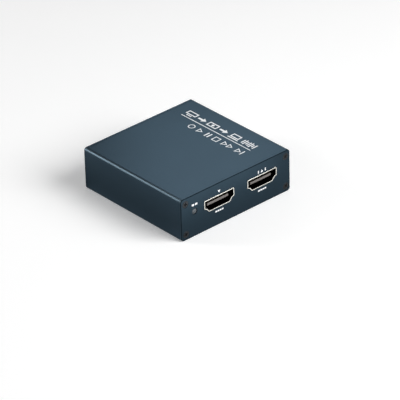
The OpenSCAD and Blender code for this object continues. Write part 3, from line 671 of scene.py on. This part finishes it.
def insulator(name, place, outline, tongue, plastic, slot):
    """A tongue on a black plug in the back of the shell, with a foot behind it; the plug and foot are black as
    painted shade deep in the opening.
    """
    low, high = span(place, name + "_shell")
    tongue_low, tongue_high, bevel = tongue
    blade = block((*tongue_low, low.z), (*tongue_high, -TONGUE_DEEP), bevel)
    plug = solid([grown(outline, -FIT_CLEAR)], low.z + PLUG_L, PLUG_L, SHEET_BEVEL)
    foot = block((low.x, board_high.z, low.z - FOOT_T), (high.x, high.y, low.z))
    mesh = joined([blade, painted(plug, 1), painted(foot, 1)])
    piece(name + "_tongue", mesh, place, [plastic, BLACK_PLASTIC], slot, name + "_insulator")


def video_socket(name):
    node = name + "_shell"
    centre = opening_middle(FRONT_FACE, node, VIDEO_SHEET, VIDEO_H)
    outline = moved(video_outline(), centre)
    tube = shell_tube(FRONT_FACE, node, outline, VIDEO_SHEET, VIDEO_ROUND_OUT, VIDEO_ROUND_IN)
    legs = shell_legs(FRONT_FACE, node, centre, VIDEO_W / 2, VIDEO_SHEET, VIDEO_LEGS)
    piece(name + "_rim", joined([tube, *legs]), FRONT_FACE, [VIDEO_SHELL], "shell", node)
    tongue_middle = centre + Vector((0, VIDEO_TONGUE_RISE))
    tongue = (tongue_middle - VIDEO_TONGUE / 2, tongue_middle + VIDEO_TONGUE / 2, VIDEO_TONGUE_BEVEL)
    insulator(name, FRONT_FACE, outline, tongue, VIDEO_TONGUE_PLASTIC, "moulded_grey")
    return grown(outline, VIDEO_SHEET + PORT_CLEAR)


def grip_height(share):
    """How far a grip spring stands above its root, along its length."""
    if share < GRIP_CREST:
        return GRIP_RISE * (1 - math.cos(math.pi * share / GRIP_CREST)) / 2
    fall = (share - GRIP_CREST) / (1 - GRIP_CREST)
    return GRIP_RISE - (GRIP_RISE - GRIP_END_RISE) * fall ** 2


def grip_spring(centre, x):
    """One spring, bent up out of the shell's floor."""
    base = centre.y - DATA_H / 2 - DATA_SHEET
    shares = [k / (2 * ARC_STEPS) for k in range(2 * ARC_STEPS + 1)]
    upper = [Vector((GRIP_ROOT + GRIP_L * s, base + DATA_SHEET + grip_height(s))) for s in shares]
    lower = [Vector((p.x, p.y - DATA_SHEET)) for p in upper]
    return across(lower + upper[::-1], x + centre.x, GRIP_W, 1)


def data_socket():
    node = "data_port_shell"
    centre = opening_middle(REAR_FACE, node, DATA_SHEET, DATA_H)
    half = Vector((DATA_W / 2, DATA_H / 2))
    low, high = centre - half, centre + half
    outline = rectangle(low, high)
    tube = shell_tube(REAR_FACE, node, outline, DATA_SHEET, DATA_ROUND_OUT, DATA_ROUND_IN)
    window = GRIP_W / 2 + GRIP_CLEAR
    windows = [
        block(
            (centre.x + x - window, low.y - 2 * DATA_SHEET, -GRIP_ROOT - GRIP_L - GRIP_CLEAR),
            (centre.x + x + window, low.y + DATA_SHEET, -GRIP_ROOT),
        )
        for x in (-GRIP_X, GRIP_X)
    ]
    legs = shell_legs(REAR_FACE, node, centre, DATA_W / 2, DATA_SHEET, DATA_LEGS)
    springs = [painted(grip_spring(centre, x), 1) for x in (-GRIP_X, GRIP_X)]
    mesh = joined([cut(tube, *windows), *legs, *springs])
    piece("data_port_rim", mesh, REAR_FACE, [DATA_SHELL, GRIP_GLINT], "shell", node)
    tongue_middle = Vector((centre.x, high.y - DATA_TONGUE_GAP - DATA_TONGUE.y / 2))
    tongue = (tongue_middle - DATA_TONGUE / 2, tongue_middle + DATA_TONGUE / 2, DATA_TONGUE_BEVEL)
    insulator("data_port", REAR_FACE, outline, tongue, BLUE_PLASTIC, "signal_blue")
    return grown(outline, DATA_SHEET + PORT_CLEAR)


def jack_ring(name):
    node = name + "_bushing"
    low, high = span(REAR_FACE, node)
    centre = middle(REAR_FACE, node)
    mouth = [
        (JACK_BORE_R + JACK_LIP * (1 - math.cos(a)), high.z - JACK_LIP * (1 - math.sin(a)))
        for a in quarter_turn(ARC_STEPS)
    ]
    edge = [
        (JACK_RING_R - JACK_EDGE * (1 - math.sin(a)), high.z - JACK_EDGE * (1 - math.cos(a)))
        for a in quarter_turn(ARC_STEPS)
    ]
    seat = low.z + JACK_SEAT
    profile = [
        (JACK_BORE_R, low.z), *mouth, *edge,
        (JACK_RING_R, seat), (JACK_SPIGOT_R, seat), (JACK_SPIGOT_R, low.z),
    ]
    piece(name + "_ring", lathe(profile, centre, closed=True), REAR_FACE, [NICKEL], "nickel", node)
    return circle(centre, JACK_RING_R + RING_CLEAR)


def light_pipe(name, place):
    """A frosted rod with a domed end, a collar behind the panel and a leg down to its lamp."""
    low, high = span(place, name)
    collar_r = (high.x - low.x) / 2
    centre = Vector(((low.x + high.x) / 2, high.y - collar_r))
    dome = [
        (PIPE_R * math.sin(a), -LENS_DOME * (1 - math.cos(a)))
        for a in quarter_turn(ARC_STEPS)
    ]
    collar_back = -PANEL_T - COLLAR_T
    rod_end = low.z + PIPE_LEG / 2
    profile = [
        *dome, (PIPE_R, -PANEL_T), (collar_r, -PANEL_T), (collar_r, collar_back), (PIPE_R, collar_back),
        (PIPE_R, rod_end), (0, rod_end),
    ]
    slope = [
        (low.z, low.y), (low.z + PIPE_LEG, low.y), (low.z + PIPE_LEG, centre.y + PIPE_LEG / 2),
        (rod_end, centre.y + PIPE_LEG / 2), (low.z, centre.y),
    ]
    leg = across([Vector(p) for p in slope], centre.x, PIPE_LEG, -1)
    piece(name + "_lens", joined([lathe(profile, centre), leg]), place, [FROSTED], "frosted", name)
    return circle(centre, PIPE_R + PIPE_CLEAR)


sleeve()
panel(
    "video_panel", FRONT_FACE,
    [video_socket("video_in"), video_socket("video_out"), light_pipe("status_light_pipe", FRONT_FACE)],
    "front_panel",
)
panel(
    "audio_panel", REAR_FACE,
    [data_socket(), jack_ring("line_in"), jack_ring("line_out"), light_pipe("power_light_pipe", REAR_FACE)],
    "rear_panel",
)
screws("video_panel_screws", FRONT_FACE, "front_screws")
screws("audio_panel_screws", REAR_FACE, "rear_screws")


# Finishes of the nodes that are carried over

for node in nodes.values():
    for held in node.material_slots:
        held.material = INNER_FINISHES.get(held.material.name, held.material)
# The video contacts deep in the sockets get the gold with painted shade.
for node in ("video_in_contacts", "video_out_contacts"):
    nodes[node].material_slots[0].material = SHADED_GOLD


# Printed marks: plain pictograms of the signal's way, drawn to a given height
TITLE_LOW, TITLE_HIGH = Vector((-20.4, 16.9)) * MM, Vector((17.4, 20.2)) * MM
TITLE_LINE_LOW, TITLE_LINE_HIGH = Vector((-20.5, 15.6)) * MM, Vector((17.7, 15.95)) * MM
SUBTITLE_LOW, SUBTITLE_HIGH = Vector((-12.3, 10.9)) * MM, Vector((17.2, 13.8)) * MM
UNDER_VIDEO = {"width": 4.0, "low": 5.65, "high": 6.25}

# Shares of a symbol's height
THIN_STROKE, STROKE = 0.12, 0.15
ARROW_STEM = 0.36


def hollow(outline, stroke):
    return [outline, grown(outline, -stroke)]


def bar(height, width=0.35):
    return [rectangle((0, 0), (width * height, height))]


def dash(height, width=1.4):
    return bar(height, width)


def dot(height):
    return [circle(Vector((height, height)) / 2, height / 2)]


def ring(height):
    return hollow(dot(height)[0], THIN_STROKE * height)


def triangle(height, turn=0):
    """A triangle that points to the right, or turned by a number of degrees."""
    middle_point = Vector((height, height)) / 2
    corners = [Vector((0.93, 0.5)), Vector((0.07, 1.0)), Vector((0.07, 0.0))]
    return [[turned(corner * height, middle_point, math.radians(turn)) for corner in corners]]


def down(height):
    return triangle(height, -90)


def up(height):
    return triangle(height, 90)


def play(height):
    return hollow(triangle(height)[0], THIN_STROKE * height)


def square(height):
    return hollow(rectangle((0, 0), (height, height)), THIN_STROKE * height)


def shifted(outlines, by):
    return [moved(outline, Vector((by, 0))) for outline in outlines]


def pause(height):
    return bar(height, 0.2) + shifted(bar(height, 0.2), 0.5 * height)


def forward(height):
    return play(height) + shifted(play(height), height)


def to_end(height):
    return play(height) + shifted(bar(height, 0.16), 1.1 * height)


def arrow(height):
    lower = [(0, ARROW_STEM), (0.7, ARROW_STEM), (0.7, 0.1), (1.3, 0.5)]
    upper = [(x, 1 - y) for x, y in reversed(lower[:-1])]
    return [[Vector(point) * height for point in lower + upper]]


def both_ways(height):
    head, length = 1, 4.5
    lower = [(head, 0), (head, ARROW_STEM), (length - head, ARROW_STEM), (length - head, 0)]
    upper = [(x, 1 - y) for x, y in reversed(lower)]
    return [[Vector(point) * height for point in [(0, 0.5), *lower, (length, 0.5), *upper]]]


def screen(height):
    foot = rectangle((0.4 * height, 0), (1.2 * height, 0.15 * height))
    return hollow(rectangle((0, 0.28 * height), (1.6 * height, height)), STROKE * height) + [foot]


def laptop(height):
    base = [(0, 0), (1.8, 0), (1.65, 0.16), (0.15, 0.16)]
    lid = rectangle((0.22 * height, 0.28 * height), (1.58 * height, height))
    return hollow(lid, STROKE * height) + [[Vector(p) * height for p in base]]


def recorder(height):
    body = rectangle((0, 0.08 * height), (1.6 * height, 0.92 * height))
    return hollow(body, STROKE * height) + [circle(Vector((0.8, 0.5)) * height, 0.2 * height)]


def levels(height, bars=7):
    """Bars of a sound level, each as high as a wave."""
    outlines = []
    for k in range(bars):
        half = height * (0.2 + 0.3 * abs(math.sin(1.1 * k + 0.6)))
        start = 0.31 * height * k
        outlines.append(rectangle((start, height / 2 - half), (start + 0.16 * height, height / 2 + half)))
    return outlines


def power(height):
    """A ring open at the top, with a bar in the gap."""
    centre, outer, gap = Vector((0.45, 0.45)) * height, 0.45 * height, math.radians(40)
    inner = outer - STROKE * height
    ends = [turned(centre + Vector((0, radius)), centre, gap) for radius in (outer, inner)]
    around = [arc(end, centre, 2 * math.pi - 2 * gap, ROUND_STEPS) for end in ends]
    half = STROKE * height / 2
    stem = rectangle((centre.x - half, centre.y), (centre.x + half, height))
    return [around[0] + around[1][::-1], stem]


def row(symbols, low, high):
    """Symbols spread evenly between two corners."""
    drawn = [symbol(high.y - low.y) for symbol in symbols]
    ends = [(min(p.x for o in one for p in o), max(p.x for o in one for p in o)) for one in drawn]
    room = high.x - low.x - sum(last - first for first, last in ends)
    gap = room / max(len(drawn) - 1, 1)
    start = low.x
    outlines = []
    for one, (first, last) in zip(drawn, ends):
        outlines += [moved(outline, Vector((start - first, low.y))) for outline in one]
        start += last - first + gap
    return outlines


def label(symbols, place, node, width, low, high):
    """A row of symbols over or under the middle of a node, in millimetres."""
    x = middle(place, node).x
    half = width * MM / 2
    return row(symbols, Vector((x - half, low * MM)), Vector((x + half, high * MM)))


def marks(name, place, top, *rows):
    mesh = solid([outline for one in rows for outline in one], top, INK_T)
    piece(name, mesh, place, [INK], None)


def top_marks():
    marks(
        "top_marks", TOP_FACE, 0,
        row([screen, arrow, recorder, arrow, laptop, levels], TITLE_LOW, TITLE_HIGH),
        [rectangle(TITLE_LINE_LOW, TITLE_LINE_HIGH)],
        row([ring, play, pause, square, forward, to_end], SUBTITLE_LOW, SUBTITLE_HIGH),
    )


def front_marks():
    marks(
        "front_marks", FRONT_FACE, INK_T,
        label([dash] * 2, FRONT_FACE, "status_light_pipe", width=2.7, low=12.95, high=13.75),
        label([down], FRONT_FACE, "video_in_shell", width=1.3, low=13.3, high=14.6),
        label([bar, up, bar], FRONT_FACE, "video_out_shell", width=3.9, low=13.3, high=14.5),
        label([dash] * 4, FRONT_FACE, "video_in_shell", **UNDER_VIDEO),
        label([dash] * 4, FRONT_FACE, "video_out_shell", **UNDER_VIDEO),
    )


def rear_marks():
    marks(
        "rear_marks", REAR_FACE, INK_T,
        label([levels, down, levels], REAR_FACE, "line_in_bushing", width=5.6, low=12.05, high=13.05),
        label([levels, up, levels], REAR_FACE, "line_out_bushing", width=8.0, low=12.3, high=13.5),
        label([bar, power, bar], REAR_FACE, "power_light_pipe", width=2.8, low=12.2, high=13.5),
        label([both_ways], REAR_FACE, "data_port_shell", width=5.0, low=13.5, high=14.6),
        label([dash] * 4, REAR_FACE, "data_port_shell", width=5.8, low=6.2, high=7.0),
    )


top_marks()
front_marks()
rear_marks()


# Camera, light and floor
CAMERA_AZIMUTH, CAMERA_ELEVATION, CAMERA_ROLL = map(math.radians, (-40.98, 30.24, -1.71))
CAMERA_DISTANCE = 1.1588
CAMERA_LENS, CAMERA_SENSOR = 280.7, 36.0
CAMERA_SHIFT = (0.0323, -0.0785)
WORLD_LEVEL = 0.12
FLOOR_HALF, FLOOR_GAP, FLOOR_GLOW = 3.0, 0.02 * MM, 0.22
KEY = {"place": (0.3, -0.65, 0.55), "size": (0.6, 0.6), "power": 9.0}
STRIP = {"place": (-0.3, 0.33, 0.17), "size": (0.12, 0.2), "power": 0.66}
TOP_CARD = {"size": (0.1, 0.1), "power": 0.15}
TOP_CARD_PLACE, TOP_CARD_AIM = Vector((0.09, 0.08, 0.12)), Vector((0.04, 0, 0))
END_CARD = {"size": (0.06, 0.04), "power": 0.0162}
END_CARD_PLACE = Vector((0.008, -0.065))
SIDE_CARD = {"place": (-0.075, 0.02), "size": (0.042, 0.1), "power": 0.0185}
FOOT_CARD_W, FOOT_CARD_GAP, FOOT_CARD_POWER = 3.0 * MM, 0.3 * MM, 0.0002
CARD_RISE = 0.5 * MM


def camera():
    right = Vector((math.cos(CAMERA_AZIMUTH), math.sin(CAMERA_AZIMUTH), 0))
    flat = Vector((math.sin(CAMERA_AZIMUTH), -math.cos(CAMERA_AZIMUTH), 0))
    back = flat * math.cos(CAMERA_ELEVATION) + Vector((0, 0, math.sin(CAMERA_ELEVATION)))
    turn = Matrix.Rotation(CAMERA_ROLL, 3, back)
    right, up = turn @ right, turn @ back.cross(right)
    data = bpy.data.cameras.new("camera")
    data.lens, data.sensor_width = CAMERA_LENS, CAMERA_SENSOR
    data.shift_x, data.shift_y = CAMERA_SHIFT
    made = bpy.data.objects.new("camera", data)
    bpy.context.scene.collection.objects.link(made)
    place = Matrix((right, up, back)).transposed().to_4x4()
    place.translation = Vector((0, 0, HEIGHT / 2)) + back * CAMERA_DISTANCE
    made.matrix_world = place
    bpy.context.scene.camera = made


def softbox(name, place, size, power, aim=(0, 0, 0), card=False):
    """A soft lamp, or a card that only shows in the gloss of what it faces."""
    data = bpy.data.lights.new(name, "AREA")
    data.shape = "RECTANGLE"
    data.size, data.size_y = size
    data.energy = power
    made = bpy.data.objects.new(name, data)
    bpy.context.scene.collection.objects.link(made)
    made.location = place
    made.rotation_euler = (Vector(aim) - Vector(place)).to_track_quat("-Z", "Y").to_euler()
    made.visible_camera = False
    made.visible_diffuse = not card


def floor_card(name, place, size, power):
    """A card that lies just over the floor and faces up."""
    low = Vector((*place, CARD_RISE))
    softbox(name, low, size, power, low + Vector((0, 0, 1)), card=True)


def world(level):
    made = bpy.data.worlds.new("studio")
    bpy.context.scene.world = made
    made.use_nodes = True
    made.node_tree.nodes["Background"].inputs["Color"].default_value = (1, 1, 1, 1)
    made.node_tree.nodes["Background"].inputs["Strength"].default_value = level


def floor():
    made = bmesh.new()
    bmesh.ops.create_grid(made, x_segments=1, y_segments=1, size=FLOOR_HALF)
    ground = bpy.data.objects.new("floor", to_mesh(made))
    ground.location.z = -FLOOR_GAP
    bpy.context.scene.collection.objects.link(ground)
    paper = Finish(
        "paper", (248, 248, 248), (252, 252, 252), rough=(0.8, 0.9), cloud=3, grain=800, bump=0.001 * MM
    )
    rays = paper.add("ShaderNodeLightPath").outputs
    seen = paper.math("ADD", rays["Is Camera Ray"], rays["Is Glossy Ray"])
    seen = paper.math("ADD", seen, rays["Is Transmission Ray"])
    paper.link(paper.math("MULTIPLY", seen, FLOOR_GLOW), paper.shader.inputs["Emission Strength"])
    ground.data.materials.append(paper.made)


def cards():
    """Cards that give the top its sheen, and the ends and the left side tones that fall towards their foot."""
    for name, way in (("front", 1), ("rear", -1)):
        turn = Vector((way, way, 1))
        softbox(name + "_top_card", turn * TOP_CARD_PLACE, aim=turn * TOP_CARD_AIM, card=True, **TOP_CARD)
        floor_card(name + "_end_card", way * END_CARD_PLACE, **END_CARD)
    floor_card("side_card", **SIDE_CARD)
    foot_x = HALF_W + FOOT_CARD_GAP + FOOT_CARD_W / 2
    floor_card("foot_card", (-foot_x, 0), (FOOT_CARD_W, 2 * HALF_W), FOOT_CARD_POWER)


camera()
world(WORLD_LEVEL)
softbox("key", **KEY)
softbox("strip", **STRIP)
cards()
floor()
bpy.context.scene.view_settings.view_transform = "Standard"
